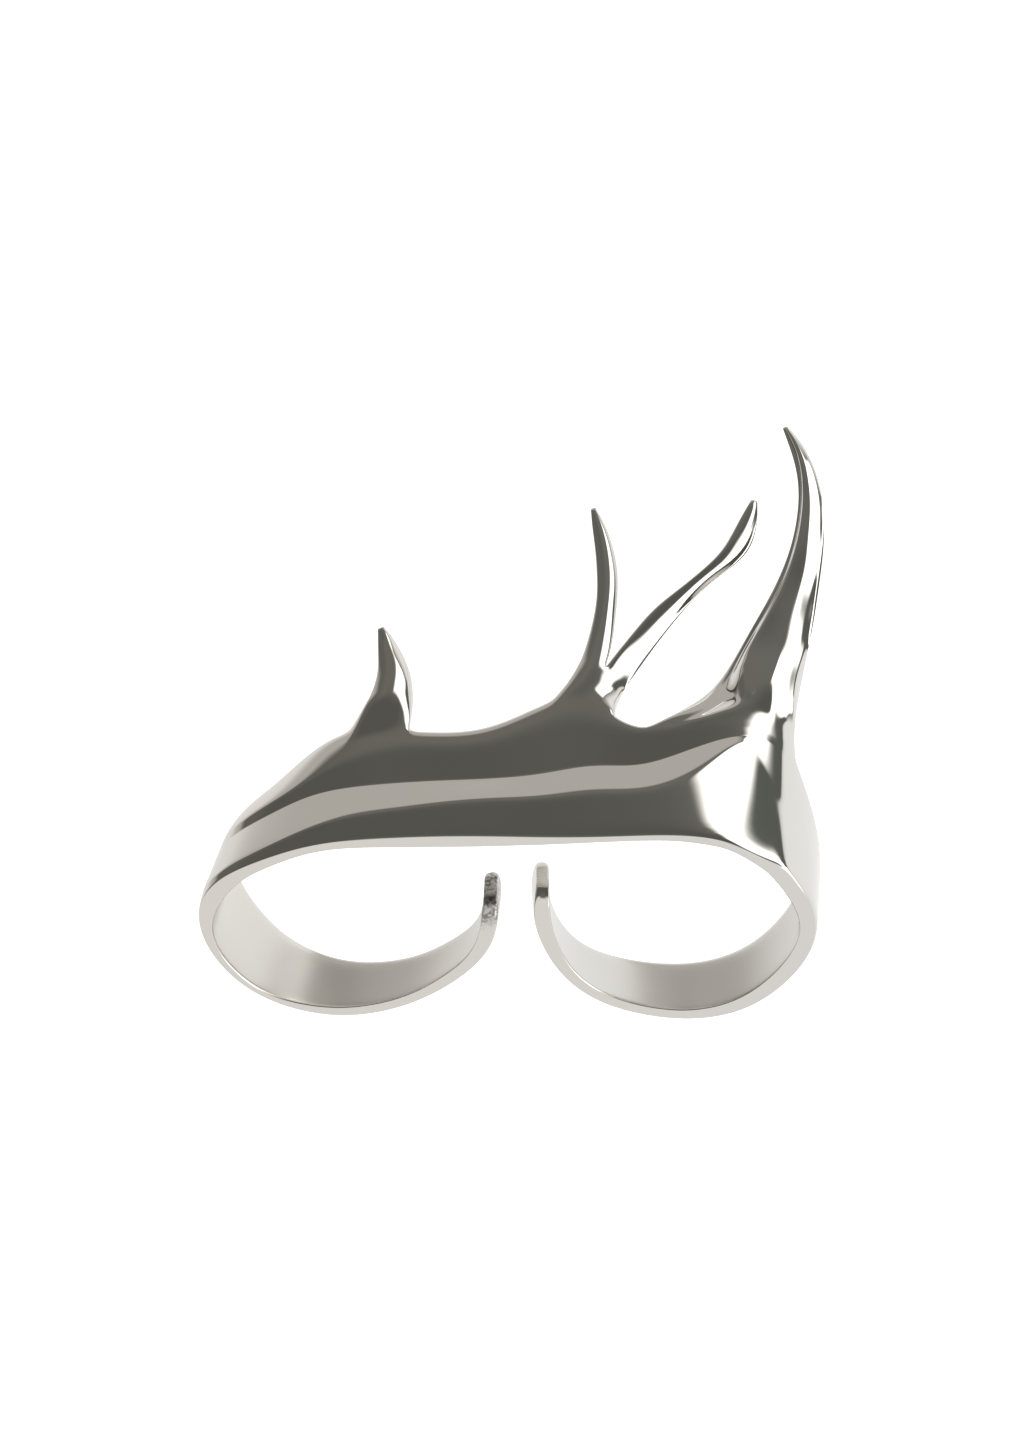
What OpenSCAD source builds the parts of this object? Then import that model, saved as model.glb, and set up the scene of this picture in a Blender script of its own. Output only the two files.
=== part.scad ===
// Double ring: one cast silver band that makes two open finger loops and the plate
// between them, with four flame-shaped horns growing from the plate's back edge.
// Ring frame: x across the fingers, f along the fingers from the front rim, u off them.

/* [Size] */
// width over both loops, mm
overall_w = 43.9; // [36:0.1:52]
// extra metal on the outside of the whole band, mm
extra_wall = 0; // [0:0.05:0.6]

/* [Flames] */
// slope of the flames above the finger axis, degrees
flame_rise = 18; // [8:0.5:28]
// height of the plate's back edge where that slope starts, mm
flame_root = 0.47; // [0:0.01:1.5]
// rings over which a flame leaves the shape of the plate's edge
root_rings = 6; // [3:1:12]
// how steeply a flame's top slopes down at the right of its ridge
ridge_fall = 0.5; // [0.1:0.02:0.8]
// how much steeper that slope gets close to the right edge
edge_fall = 0.18; // [0:0.02:0.6]
// how steeply its left flank rises towards the ridge
flank_rise = 0.02; // [0:0.02:0.6]

/* [Rest] */
// how far the finger axis points down at the back, degrees
rest_lean = 46.2; // [35:0.05:55]
// side lean that lets both loops touch the table, degrees
rest_roll = -0.8; // [-5:0.05:5]

/* [Fineness] */
// sections made between two rows of a table
steps = 3; // [2:1:4]

/* [Hidden] */
RIM = [ // front rim: inner edge x, u, then outer edge x, u; from the left free end
  [ -2.00,  -5.50,  -1.15,  -5.45],
  [ -2.18,  -7.30,  -1.02,  -7.15],
  [ -2.50,  -9.10,  -1.30,  -9.30],
  [ -3.20, -10.70,  -2.25, -11.20],
  [ -4.35, -12.15,  -3.60, -12.90],
  [ -6.05, -13.70,  -5.50, -14.55],
  [ -8.20, -15.00,  -7.95, -15.98],
  [-11.10, -15.80, -11.15, -16.80],
  [-14.00, -15.65, -14.30, -16.45],
  [-16.70, -14.70, -17.10, -15.20],
  [-18.80, -12.90, -19.45, -13.15],
  [-20.45, -10.20, -21.25, -10.20],
  [-20.98,  -7.60, -21.98,  -7.20],
  [-20.20,  -5.20, -21.55,  -4.75],
  [-18.85,  -3.25, -19.90,  -2.75],
  [-17.00,  -1.95, -17.45,  -1.35],
  [-14.40,  -0.60, -14.60,   0.03],
  [-11.50,   0.00, -11.50,   0.72],
  [ -8.30,   0.05,  -8.30,   1.00],
  [ -5.00,   0.10,  -5.00,   1.17],
  [ -1.70,   0.15,  -1.70,   1.19],
  [  1.60,   0.30,   1.60,   1.12],
  [  4.90,   0.50,   4.90,   1.15],
  [  8.20,   0.70,   8.20,   1.28],
  [ 11.40,   0.72,  11.40,   1.38],
  [ 14.00,   0.18,  14.10,   0.98],
  [ 15.50,  -0.45,  15.80,   0.22],
  [ 17.40,  -2.10,  18.00,  -1.30],
  [ 18.15,  -3.10,  19.15,  -2.00],
  [ 18.90,  -4.35,  20.05,  -3.55],
  [ 19.80,  -6.40,  21.10,  -5.85],
  [ 20.02,  -8.60,  21.30,  -8.60],
  [ 19.20, -10.95,  20.45, -11.45],
  [ 17.60, -13.35,  18.60, -14.20],
  [ 15.40, -15.25,  16.00, -16.35],
  [ 12.60, -16.10,  12.70, -17.15],
  [  9.70, -15.80,   9.45, -16.75],
  [  7.00, -14.75,   6.45, -15.60],
  [  4.95, -13.00,   4.15, -13.60],
  [  3.60, -10.60,   2.60, -11.05],
  [  2.85,  -8.10,   1.65,  -8.20],
  [  2.68,  -6.20,   1.52,  -6.20],
  [  2.55,  -4.65,   1.75,  -4.60]];
DEPTH = [ // front edge f, back edge f, then how far the back edge shifts in x and in u
  [0.30,  4.30,  0.10, 0.00],
  [0.20,  4.30,  0.30, 0.00],
  [0.10,  4.20,  0.50, 0.00],
  [0.00,  4.00,  0.70, 0.00],
  [0.00,  4.00,  0.70, 0.00],
  [0.00,  4.10,  0.60, 0.00],
  [0.00,  4.30,  0.50, 0.00],
  [0.00,  4.70,  0.30, 0.10],
  [0.00,  5.30,  0.60, 0.20],
  [0.00,  5.90,  1.10, 0.20],
  [0.00,  6.30,  1.60, 0.20],
  [0.00,  6.50,  1.80, 0.20],
  [0.00,  6.70,  1.90, 0.20],
  [0.00,  7.10,  1.90, 0.20],
  [0.00,  7.60,  1.60, 0.20],
  [0.00,  8.10,  1.10, 0.30],
  [0.00,  8.80,  0.40, 0.60],
  [0.00,  9.40,  0.00, 1.40],
  [0.00,  9.00,  0.00, 1.70],
  [0.00,  8.70,  0.00, 1.70],
  [0.00,  9.00,  0.00, 1.75],
  [0.00, 10.40,  0.00, 2.15],
  [0.00, 11.30,  0.00, 2.50],
  [0.00,  8.50,  0.00, 1.70],
  [0.00,  8.90,  0.00, 1.80],
  [0.00,  9.40,  0.00, 2.30],
  [0.00,  9.50,  0.90, 2.85],
  [0.00,  9.40,  0.20, 3.55],
  [0.00,  9.30,  0.10, 3.45],
  [0.00,  8.90,  0.10, 2.90],
  [0.00,  7.60,  0.30, 1.40],
  [0.00,  6.30,  0.30, 0.30],
  [0.00,  5.60,  0.10, 0.10],
  [0.00,  5.30,  0.00, 0.00],
  [0.00,  5.20,  0.00, 0.00],
  [0.00,  5.00,  0.00, 0.00],
  [0.00,  4.80, -0.10, 0.00],
  [0.00,  4.50, -0.20, 0.00],
  [0.00,  4.30, -0.40, 0.00],
  [0.00,  4.30, -0.40, 0.00],
  [0.10,  4.30, -0.30, 0.00],
  [0.20,  4.40, -0.10, 0.00],
  [0.30,  4.40,  0.00, 0.00]];
LOOP_FACE = [0.32, 0.03, 0.60, 0.04, 0.80, 0.03, 0.00]; // the plain face of both loops
FACE_ROW = 12; // row of RIM at which FACE starts
// crest, valley and brow, each as its share of the width and its extra metal, then the
// extra metal of the back edge
FACE = [
  [0.32, 0.03, 0.60,  0.04, 0.80, 0.03,  0.00],
  [0.12, 0.20, 0.56,  0.15, 0.76, 0.10,  0.00],
  [0.09, 0.38, 0.53,  0.25, 0.66, 0.50, -0.05],
  [0.10, 0.50, 0.52,  0.30, 0.62, 0.80,  0.00],
  [0.14, 0.54, 0.53,  0.10, 0.65, 0.70,  0.45],
  [0.19, 0.63, 0.50, -0.07, 0.74, 0.73,  0.75],
  [0.22, 0.66, 0.53, -0.18, 0.86, 0.66,  0.50],
  [0.27, 0.70, 0.56, -0.22, 0.87, 0.60,  0.42],
  [0.29, 0.76, 0.55, -0.16, 0.87, 0.66,  0.48],
  [0.26, 0.80, 0.50, -0.10, 0.88, 0.88,  0.68],
  [0.28, 0.80, 0.52, -0.10, 0.89, 0.86,  0.72],
  [0.37, 0.78, 0.67, -0.04, 0.94, 0.72,  0.75],
  [0.44, 0.78, 0.75, -0.05, 0.94, 0.48,  0.60],
  [0.64, 0.62, 0.82,  0.08, 0.95, 0.36,  0.42],
  [0.83, 0.22, 0.88,  0.20, 0.95, 0.22,  0.28],
  [0.55, -0.02, 0.88,  0.12, 0.95, 0.14,  0.15],
  [0.50, -0.18, 0.86,  0.00, 0.94, 0.06,  0.10],
  [0.60, 0.00, 0.76,  0.00, 0.88, 0.00,  0.00],
  [0.32, 0.03, 0.60,  0.04, 0.80, 0.03,  0.00]];
// flame sections: left edge x, f and drop under the flames' slope, the same of the right
// edge, metal over and under the line between them, share of the width that the left
// flank takes, place of the ridge; the first section lies on the plate's back edge
HORN_1 = [
  [-11.5,  9.0, 0.00,  -7.2,  8.6, 0.00, 0.75, 0.75, 0.15, 0.66],
  [-10.8,  9.8, 0.00,  -7.0,  9.9, 0.35, 0.85, 0.70, 0.15, 0.68],
  [-10.1, 10.7, 0.00,  -6.9, 11.2, 0.70, 0.90, 0.65, 0.15, 0.70],
  [ -9.7, 11.7, 0.00,  -7.0, 12.6, 0.60, 0.85, 0.60, 0.15, 0.70],
  [ -9.4, 12.9, 0.00,  -7.4, 13.9, 0.60, 0.75, 0.50, 0.15, 0.70],
  [ -9.4, 14.1, 0.00,  -8.0, 15.1, 0.50, 0.55, 0.40, 0.15, 0.68],
  [ -9.4, 15.2, 0.00,  -8.6, 15.8, 0.10, 0.36, 0.28, 0.20, 0.66],
  [ -9.4, 16.1, 0.00,  -9.0, 16.2, 0.00, 0.18, 0.16, 0.30, 0.60]];
STEM = [
  [  2.7,  10.8,  0.0,    7.1,   8.9, 0.00, 0.80, 0.80, 0.10, 0.85],
  [  3.5,  11.7,  0.0,    7.2,   9.8, 0.25, 0.85, 0.75, 0.10, 0.74],
  [  4.2,  12.7,  0.0,    7.4,  10.9, 0.60, 0.85, 0.70, 0.12, 0.64],
  [  4.8,  13.8,  0.0,    7.9,  12.2, 0.80, 0.80, 0.65, 0.12, 0.57]];
HORN_2 = [
  [  4.8,  13.8,  0.0,   6.4,  13.4,  0.1, 0.80, 0.65, 0.15, 0.60],
  [  5.2,  15.0,  0.0,   6.9,  14.9,  0.1, 0.75, 0.60, 0.15, 0.50],
  [  5.6,  16.6,  0.0,   7.2,  16.7,  0.1, 0.70, 0.55, 0.15, 0.50],
  [  5.9,  18.4,  0.0,   7.4,  18.6,  0.1, 0.65, 0.50, 0.15, 0.52],
  [  5.9,  20.2,  0.0,   7.4,  20.4,  0.1, 0.60, 0.45, 0.15, 0.56],
  [  5.8,  22.0,  0.0,   7.1,  22.1,  0.1, 0.52, 0.40, 0.15, 0.60],
  [  5.6,  23.6,  0.0,   6.6,  23.7,  0.0, 0.38, 0.30, 0.20, 0.60],
  [  5.5,  25.1,  0.0,   5.8,  25.2,  0.0, 0.18, 0.16, 0.30, 0.60]];
HORN_3 = [
  [ 6.4, 13.4, 0.1,  7.9, 12.2, 0.80, 0.80, 0.65, 0.12, 0.50],
  [ 7.2, 14.4, 0.0,  8.8, 13.6, 0.85, 0.72, 0.60, 0.06, 0.30],
  [ 8.4, 15.8, 0.0,  9.9, 15.2, 0.80, 0.66, 0.55, 0.04, 0.20],
  [ 9.9, 17.6, 0.0, 11.2, 17.0, 0.80, 0.60, 0.50, 0.03, 0.15],
  [11.6, 19.0, 0.0, 12.7, 18.8, 0.70, 0.52, 0.45, 0.03, 0.15],
  [13.2, 20.4, 0.0, 14.1, 20.2, 0.70, 0.46, 0.40, 0.03, 0.15],
  [14.5, 21.7, 0.0, 15.5, 21.3, 0.70, 0.50, 0.40, 0.03, 0.16],
  [15.3, 23.0, 0.0, 16.7, 22.6, 0.70, 0.52, 0.45, 0.04, 0.20],
  [16.0, 24.4, 0.0, 17.2, 24.3, 0.40, 0.42, 0.38, 0.08, 0.30],
  [16.8, 25.8, 0.0, 17.2, 25.7, 0.00, 0.18, 0.16, 0.20, 0.50]];
HORN_4 = [
  [  9.3,  8.5, 0.30, 19.7,  7.8, 2.30, 1.00, 0.80, 0.02, 0.72],
  [ 11.0,  9.6, 0.50, 19.7,  9.2, 2.45, 1.20, 1.00, 0.15, 0.70],
  [ 12.7, 11.4, 1.35, 19.8, 10.9, 3.00, 1.98, 1.10, 0.28, 0.65],
  [ 14.2, 13.4, 2.20, 20.0, 12.4, 2.45, 2.15, 1.00, 0.16, 0.67],
  [ 15.4, 15.1, 2.00, 20.4, 14.2, 1.85, 1.50, 0.90, 0.08, 0.66],
  [ 16.5, 16.6, 1.20, 20.8, 15.8, 1.20, 0.88, 0.80, 0.08, 0.64],
  [ 17.6, 18.2, 0.65, 21.2, 17.9, 1.15, 0.62, 0.75, 0.08, 0.60],
  [ 18.6, 20.2, 0.60, 21.5, 20.0, 1.00, 0.58, 0.70, 0.10, 0.55],
  [ 19.4, 22.2, 0.45, 21.8, 21.9, 0.40, 0.55, 0.65, 0.10, 0.50],
  [ 19.9, 24.3, 0.35, 21.9, 24.2, 0.27, 0.50, 0.60, 0.10, 0.50],
  [ 20.1, 26.4, 0.25, 21.7, 26.5, 0.16, 0.45, 0.50, 0.12, 0.50],
  [ 19.9, 28.3, 0.10, 21.1, 28.6, 0.02, 0.40, 0.38, 0.20, 0.56],
  [ 19.4, 30.0, 0.05, 20.2, 30.3, 0.02, 0.28, 0.26, 0.30, 0.60],
  [ 19.0, 31.2, 0.00, 19.3, 31.3, 0.00, 0.18, 0.16, 0.30, 0.60]];

// smooth curve through the rows of a table, at place t counted in rows
function row(P, i) = i < 0 ? P[0] - i * (P[0] - P[1])
  : i < len(P) ? P[i]
  : P[len(P) - 1] + (i - len(P) + 1) * (P[len(P) - 1] - P[len(P) - 2]);
function knot(P, i) = row(P, i) - (row(P, i - 1) - 2 * row(P, i) + row(P, i + 1)) / 6;
function along(P, t) = let (i = floor(t), w = t - i)
  (pow(1 - w, 3) * knot(P, i - 1) + (3 * w * w * w - 6 * w * w + 4) * knot(P, i)
  + (-3 * w * w * w + 3 * w * w + 3 * w + 1) * knot(P, i + 1)
  + w * w * w * knot(P, i + 2)) / 6;
function mix(a, b, s) = a + (b - a) * s;
function bend(a, b, c, s) = mix(mix(a, b, s), mix(b, c, s), s);

// places of the band's sections: close together where a free end rounds off
END = [0.03, 0.12, 0.28, 0.50, 0.75];
rows = len(RIM);
T = concat(END, [for (i = [0 : (rows - 3) * steps]) 1 + i / steps],
  [for (i = [len(END) - 1 : -1 : 0]) rows - 1 - END[i]]);
function section_at(r) = len(END) + (r - 1) * steps;

RIM_ROUND = 0.16; // rounding of the front rims, mm

// one section of the band as points f, h: h leaves the inner face at a right angle; the
// shares set the points closer together where the face bends
function profile(f0, f1, w, face) = let (
    edge = RIM_ROUND * min(1, (f1 - f0) / 2),
    fw = f1 - f0,
    front = [f0, w],
    crest = [f0 + fw * face[0], w + face[1]],
    valley = [f0 + fw * face[2], w + face[3]],
    brow = [f0 + fw * face[4], w + face[5]],
    back = [f1, w + face[6]],
    turn = mix(front, crest, 0.92),
    fall = mix(crest, valley, 0.14),
    root = mix(brow, back, 0.4),
    under = [f0 + fw * 0.88, 0],
    tail = [f1, (w + face[6]) * 0.5])
  [mix(front, crest, edge / (fw * face[0])), mix(front, crest, 0.4), mix(front, crest, 0.72),
   turn, bend(turn, crest, fall, 0.5),
   fall, mix(crest, valley, 0.6), mix(crest, valley, 0.93), valley,
   mix(valley, brow, 0.10), mix(valley, brow, 0.33), mix(valley, brow, 0.60),
   mix(valley, brow, 0.86), root, bend(root, back, tail, 0.55), tail,
   bend(tail, [f1, 0], under, 0.45), under, [f0 + fw * 0.66, 0], [f0 + fw * 0.42, 0],
   [f0 + fw * 0.2, 0], [f0 + edge * 0.5, 0], [f0, edge * 0.5], [f0, w - edge]];
OUT = 13; // last point of the outer face before the back edge
TAIL = 15; // middle of the back edge
IN = 17; // first point of the inner face after the back edge
NP = 24;

function section(t) = let (
    r = along(RIM, t), d = along(DEPTH, t),
    j = t - FACE_ROW,
    face = j > 0 && j < len(FACE) - 1 ? along(FACE, j) : LOOP_FACE,
    e = min(t, rows - 1 - t),
    k = e < 1 ? sqrt(1 - pow(1 - e, 2)) : 1,
    mid = (d[0] + d[1]) / 2,
    f0 = mix(mid, d[0], k), f1 = mix(mid, d[1], k),
    wall = norm([r[2] - r[0], r[3] - r[1]]),
    nx = (r[2] - r[0]) / wall, nu = (r[3] - r[1]) / wall)
  [for (p = profile(f0, f1, wall + extra_wall, face))
    let (s = (p[0] - d[0]) / (d[1] - d[0]))
    [r[0] + nx * p[1] + d[2] * s, p[0], r[1] + nu * p[1] + d[3] * s]];

BAND = [for (t = T) each section(t)];
NS = len(T);
function at(i, j) = i * NP + (j % NP);

// ring of band points from which a flame grows, between sections a and b
function root_ring(a, b) = concat([for (i = [a : b]) at(i, OUT)],
  [at(b, OUT + 1), at(b, TAIL), at(b, IN - 1)], [for (i = [b : -1 : a]) at(i, IN)],
  [at(a, IN - 1), at(a, TAIL), at(a, OUT + 1)]);

FLANK_METAL = 0.3; // metal over the left flank, as a share of that over the ridge
FLANK_STEP = 0.1; // share of the width in which the flank steps up to the top
EDGE_PLACE = 0.84; // place across a flame where its top gets steeper
THIN_EDGE = 0.4; // how much thinner the underside gets at both edges, as a share
NEAR_EDGE = 0.01; // share of the width over which the two edges round off

// section of a flame with m + 1 points on each face and three on each edge: a nearly
// level flank at the left, a step up to a flat top, and a slope down past its ridge
LIFT = [0, -sin(flame_rise), cos(flame_rise)];
function flame_u(f) = flame_root + f * tan(flame_rise);
function ease(s) = s >= 1 ? 1 : s <= 0 ? 0 : s * s * (3 - 2 * s);
function top(a, h, w) = let (
    wide = norm(w),
    flank = h[6] * FLANK_METAL + a * (flank_rise * wide - w[2]),
    fall = ridge_fall * max(0, a - h[9]) + edge_fall * max(0, a - EDGE_PLACE))
  mix(flank, h[6] - wide * fall, ease((a - h[8]) / FLANK_STEP));
function low(a, h) = -h[7] * (1 - THIN_EDGE * pow(2 * a - 1, 4));
function oval(h, m) = let (
    l = [h[0], h[1], flame_u(h[1]) - h[2]], r = [h[3], h[4], flame_u(h[4]) - h[5]],
    w = r - l, up = LIFT - w * (LIFT * w) / (w * w), n = up / norm(up),
    across = [for (i = [0 : m]) 0.05 + 0.9 * (i / m - 0.07 * sin(360 * i / m))])
  concat([for (a = across) l + w * a + n * top(a, h, w)],
    [r - w * NEAR_EDGE + n * top(1, h, w) * 0.5, r, r - w * NEAR_EDGE + n * low(1, h) * 0.6],
    [for (i = [m : -1 : 0]) l + w * across[i] + n * low(across[i], h)],
    [l + w * NEAR_EDGE + n * low(0, h) * 0.6, l, l + w * NEAR_EDGE + n * top(0, h, w) * 0.6]);

// sections of a flame after its root: the root's own shape and the slope of the plate
// there, given by the normals, fade out over root_rings
function flame(H, m, root_points, normals, fade) = let (
    o = oval(along(H, 0), m), next = oval(along(H, 0.5), m))
  [for (i = [1 : (len(H) - 1) * 2])
    let (g = oval(along(H, i / 2), m), w = 1 - ease(i / fade),
      v = i * pow(max(0, 1 - i / fade), 2))
    each [for (q = [0 : len(g) - 1]) g[q] + w * (root_points[q] - o[q])
      - v * normals[q] * (normals[q] * (next[q] - o[q]))]];

// direction off the band's surface at a point of the back edge, and at a whole root ring
function facing(i, j, back) = let (
    n = cross(BAND[at(i + 1, j)] - BAND[at(i - 1, j)], BAND[at(i, j)] - BAND[at(i, back)]))
  n / norm(n);
NO_NORMAL = [0, 0, 0];
function root_normals(a, b) = concat([for (i = [a : b]) facing(i, OUT, OUT - 1)],
  [NO_NORMAL, NO_NORMAL, NO_NORMAL], [for (i = [b : -1 : a]) facing(i, IN, IN + 1)],
  [NO_NORMAL, NO_NORMAL, NO_NORMAL]);

// where each flame meets the plate
A1 = section_at(17);
B1 = section_at(18) + round(steps / 3);
AS = section_at(21) + round(steps / 3);
BS = section_at(23) - round(steps / 3);
A4 = section_at(23) + round(steps / 3);
B4 = section_at(29) - round(steps / 3);
MS = BS - AS;
K2 = floor(MS / 2);
function pick(V, ids) = [for (i = ids) V[i]];

R1 = root_ring(A1, B1);
RS = root_ring(AS, BS);
R4 = root_ring(A4, B4);
V1 = flame(HORN_1, B1 - A1, pick(BAND, R1), root_normals(A1, B1), root_rings - 2);
VS = flame(STEM, MS, pick(BAND, RS), root_normals(AS, BS), root_rings + 1);
V4 = flame(HORN_4, B4 - A4, pick(BAND, R4), root_normals(A4, B4), root_rings);
O1 = len(BAND);
OS = O1 + len(V1);
O4 = OS + len(VS);
OF = O4 + len(V4);

// the stem splits in two: its last ring shares three saddle points between the flames
NSR = len(RS);
STEM_RINGS = len(VS) / NSR;
STEM_TOP = [for (q = [0 : NSR - 1]) OS + (STEM_RINGS - 1) * NSR + q];
function stem_point(q) = VS[(STEM_RINGS - 1) * NSR + q];
saddle_top = stem_point(K2);
saddle_low = stem_point(2 * MS + 4 - K2);
SADDLE_OUT = [0.02, 0.25, 0.08]; // how far the fork's bottom stands off the stem, mm
SADDLE = [for (s = [0.2, 0.5, 0.8]) mix(saddle_top, saddle_low, s) + SADDLE_OUT];
R2 = concat([for (q = [0 : K2]) STEM_TOP[q]], [OF, OF + 1, OF + 2],
  [for (q = [2 * MS + 4 - K2 : NSR - 1]) STEM_TOP[q]]);
R3 = concat([for (q = [K2 : 2 * MS + 4 - K2]) STEM_TOP[q]], [OF + 2, OF + 1, OF]);
TOPV = concat(BAND, V1, VS, V4, SADDLE);
FREE = [for (q = [0 : NSR]) NO_NORMAL];
V2 = flame(HORN_2, K2, pick(TOPV, R2), FREE, root_rings);
V3 = flame(HORN_3, MS - K2, pick(TOPV, R3), FREE, root_rings);
O2 = OF + 3;
O3 = O2 + len(V2);
RING_POINTS = concat(TOPV, V2, V3);

// faces between two rings of points, and over the last ring of a flame
function tube(R, o, n, rings) = [for (k = [0 : rings - 1], q = [0 : n - 1])
  let (q2 = (q + 1) % n, lo = k == 0 ? R : [for (z = [0 : n - 1]) o + (k - 1) * n + z])
  [lo[q], o + k * n + q, o + k * n + q2, lo[q2]]];
function cap(o, n, rings) = let (z = o + (rings - 1) * n, m = (n - 6) / 2 - 1)
  concat([for (q = [0 : m - 1]) [z + q + 1, z + q, z + n - 4 - q, z + n - 5 - q]],
    [[z + m, z + m + 4, z + m + 3, z + m + 2, z + m + 1],
     [z + n - 4, z, z + n - 1, z + n - 2, z + n - 3]]);
function flame_faces(R, o, V) = let (n = len(R), rings = len(V) / n)
  concat(tube(R, o, n, rings), cap(o, n, rings));
function open_at(i, j) = j >= OUT && j < IN
  && ((i >= A1 && i < B1) || (i >= AS && i < BS) || (i >= A4 && i < B4));
BAND_FACES = [for (i = [0 : NS - 2], j = [0 : NP - 1])
  if (!open_at(i, j)) [at(i, j), at(i, j + 1), at(i + 1, j + 1), at(i + 1, j)]];
// a free end is closed by a strip between its outer and inner face
function end_cap(i) = [[at(i, 23), at(i, 0), at(i, 21), at(i, 22)],
  [at(i, 0), at(i, 1), at(i, 2), at(i, 20), at(i, 21)],
  [at(i, 2), at(i, 3), at(i, 4), at(i, 5), at(i, 19), at(i, 20)],
  [at(i, 5), at(i, 6), at(i, 7), at(i, 8), at(i, 9), at(i, 18), at(i, 19)],
  [at(i, 9), at(i, 10), at(i, 11), at(i, 12), at(i, 13), at(i, 17), at(i, 18)],
  [at(i, 13), at(i, 14), at(i, 15), at(i, 16), at(i, 17)]];
function flip(F) = [for (f = F) [for (i = [len(f) - 1 : -1 : 0]) f[i]]];
FACES = concat(BAND_FACES, flip(end_cap(0)), end_cap(NS - 1),
  flame_faces(R1, O1, V1), tube(RS, OS, NSR, STEM_RINGS),
  flame_faces(R4, O4, V4), flame_faces(R2, O2, V2), flame_faces(R3, O3, V3));

// the ring as it lies on a table: on the back rims of both loops and the longest flame
SCALE = overall_w / 43.9;
function rest(p) = let (
    y = p[1] * cos(rest_lean) + p[2] * sin(rest_lean),
    z = -p[1] * sin(rest_lean) + p[2] * cos(rest_lean))
  SCALE * [p[0] * cos(rest_roll) + z * sin(rest_roll), y,
    -p[0] * sin(rest_roll) + z * cos(rest_roll)];
LAID = [for (p = RING_POINTS) rest(p)];
function column(i) = [for (p = LAID) p[i]];
MIDDLE = [(min(column(0)) + max(column(0))) / 2, (min(column(1)) + max(column(1))) / 2,
  min(column(2))];

// the whole ring, one solid piece of metal
module double_ring() {
  color([0.78, 0.77, 0.75])
  polyhedron(points = [for (p = LAID) p - MIDDLE], faces = FACES, convexity = 8);
}

double_ring();
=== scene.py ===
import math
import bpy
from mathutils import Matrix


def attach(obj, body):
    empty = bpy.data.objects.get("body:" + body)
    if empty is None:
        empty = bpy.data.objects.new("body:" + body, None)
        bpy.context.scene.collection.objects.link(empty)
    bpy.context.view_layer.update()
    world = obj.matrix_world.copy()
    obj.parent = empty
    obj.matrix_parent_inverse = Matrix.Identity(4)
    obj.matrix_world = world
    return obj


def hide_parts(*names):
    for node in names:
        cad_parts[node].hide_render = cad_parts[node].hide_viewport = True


bl_info = {
    "name": "Double ring with flames",
    "version": (1, 0, 0),
    "blender": (4, 5, 0),
    "location": "3D View > Sidebar > Double ring",
    "description": "Makes a polished silver ring for two fingers, with four flame-shaped horns",
    "category": "Add Mesh",
}

import bpy
import numpy as np
from mathutils import Matrix, Vector

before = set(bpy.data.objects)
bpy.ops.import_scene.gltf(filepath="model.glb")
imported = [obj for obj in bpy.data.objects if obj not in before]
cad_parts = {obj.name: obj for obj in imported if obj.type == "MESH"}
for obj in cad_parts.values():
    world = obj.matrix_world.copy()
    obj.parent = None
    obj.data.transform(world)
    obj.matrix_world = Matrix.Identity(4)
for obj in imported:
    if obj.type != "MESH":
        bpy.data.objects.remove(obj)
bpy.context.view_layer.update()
BODY = "root"
MM = 0.001

# Ring frame, in millimetres: x across the fingers, f along them from the front rim,
# u off them. The tables repeat those of the part's source.

# front rim, from the left free end: inner edge x, u, then outer edge x, u
RIM = np.array([
    ( -2.00,  -5.50,  -1.15,  -5.45),
    ( -2.18,  -7.30,  -1.02,  -7.15),
    ( -2.50,  -9.10,  -1.30,  -9.30),
    ( -3.20, -10.70,  -2.25, -11.20),
    ( -4.35, -12.15,  -3.60, -12.90),
    ( -6.05, -13.70,  -5.50, -14.55),
    ( -8.20, -15.00,  -7.95, -15.98),
    (-11.10, -15.80, -11.15, -16.80),
    (-14.00, -15.65, -14.30, -16.45),
    (-16.70, -14.70, -17.10, -15.20),
    (-18.80, -12.90, -19.45, -13.15),
    (-20.45, -10.20, -21.25, -10.20),
    (-20.98,  -7.60, -21.98,  -7.20),
    (-20.20,  -5.20, -21.55,  -4.75),
    (-18.85,  -3.25, -19.90,  -2.75),
    (-17.00,  -1.95, -17.45,  -1.35),
    (-14.40,  -0.60, -14.60,   0.03),
    (-11.50,   0.00, -11.50,   0.72),
    ( -8.30,   0.05,  -8.30,   1.00),
    ( -5.00,   0.10,  -5.00,   1.17),
    ( -1.70,   0.15,  -1.70,   1.19),
    (  1.60,   0.30,   1.60,   1.12),
    (  4.90,   0.50,   4.90,   1.15),
    (  8.20,   0.70,   8.20,   1.28),
    ( 11.40,   0.72,  11.40,   1.38),
    ( 14.00,   0.18,  14.10,   0.98),
    ( 15.50,  -0.45,  15.80,   0.22),
    ( 17.40,  -2.10,  18.00,  -1.30),
    ( 18.15,  -3.10,  19.15,  -2.00),
    ( 18.90,  -4.35,  20.05,  -3.55),
    ( 19.80,  -6.40,  21.10,  -5.85),
    ( 20.02,  -8.60,  21.30,  -8.60),
    ( 19.20, -10.95,  20.45, -11.45),
    ( 17.60, -13.35,  18.60, -14.20),
    ( 15.40, -15.25,  16.00, -16.35),
    ( 12.60, -16.10,  12.70, -17.15),
    (  9.70, -15.80,   9.45, -16.75),
    (  7.00, -14.75,   6.45, -15.60),
    (  4.95, -13.00,   4.15, -13.60),
    (  3.60, -10.60,   2.60, -11.05),
    (  2.85,  -8.10,   1.65,  -8.20),
    (  2.68,  -6.20,   1.52,  -6.20),
    (  2.55,  -4.65,   1.75,  -4.60),
])
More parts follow.
